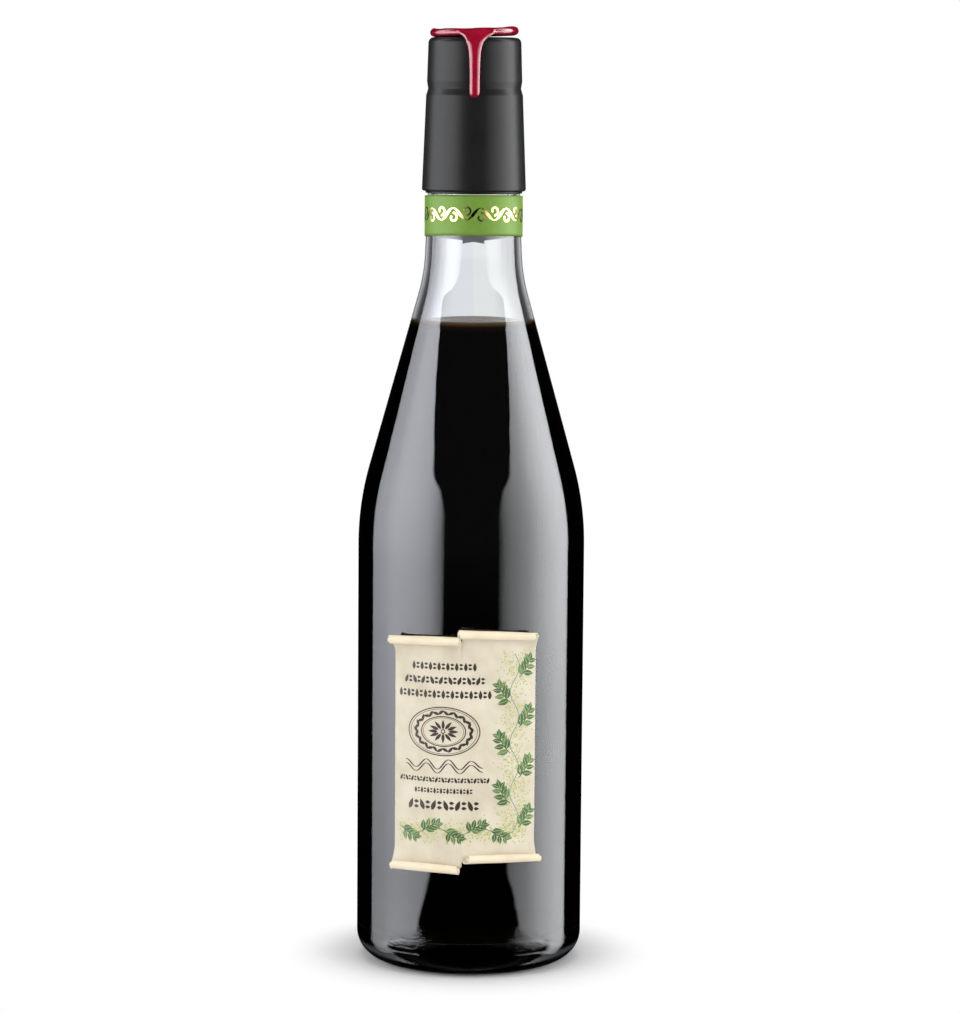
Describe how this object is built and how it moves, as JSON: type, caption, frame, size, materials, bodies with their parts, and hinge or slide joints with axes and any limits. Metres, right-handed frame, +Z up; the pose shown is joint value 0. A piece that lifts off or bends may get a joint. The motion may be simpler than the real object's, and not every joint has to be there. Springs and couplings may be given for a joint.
{
  "type": "vinegar bottle",
  "caption": "Clear glass bottle with a long sloping shoulder, filled with dark vinegar, with a black cap, wax seal, paper neck band and curled paper label.",
  "frame": {"origin": "the middle of the ring that the bottle stands on, on the surface under it", "axes": "+Z up along the bottle's axis, -Y towards the side with the label, +X to the right seen from the label"},
  "size_m": [0.069, 0.0739, 0.2846],
  "materials": {
    "clear_glass": "polished",
    "vinegar": "dark liquid",
    "cap_plastic": "satin black",
    "sealing_wax": "glossy crimson wax",
    "band_paper": "printed green paper with gold foil",
    "label_paper": "uncoated cream paper"
  },
  "bodies": {
    "root": {"bottle": "clear_glass", "vinegar": "vinegar", "cap": "cap_plastic", "wax_seal": "sealing_wax", "neck_band": "band_paper", "label": "label_paper"}
  },
  "joints": []
}
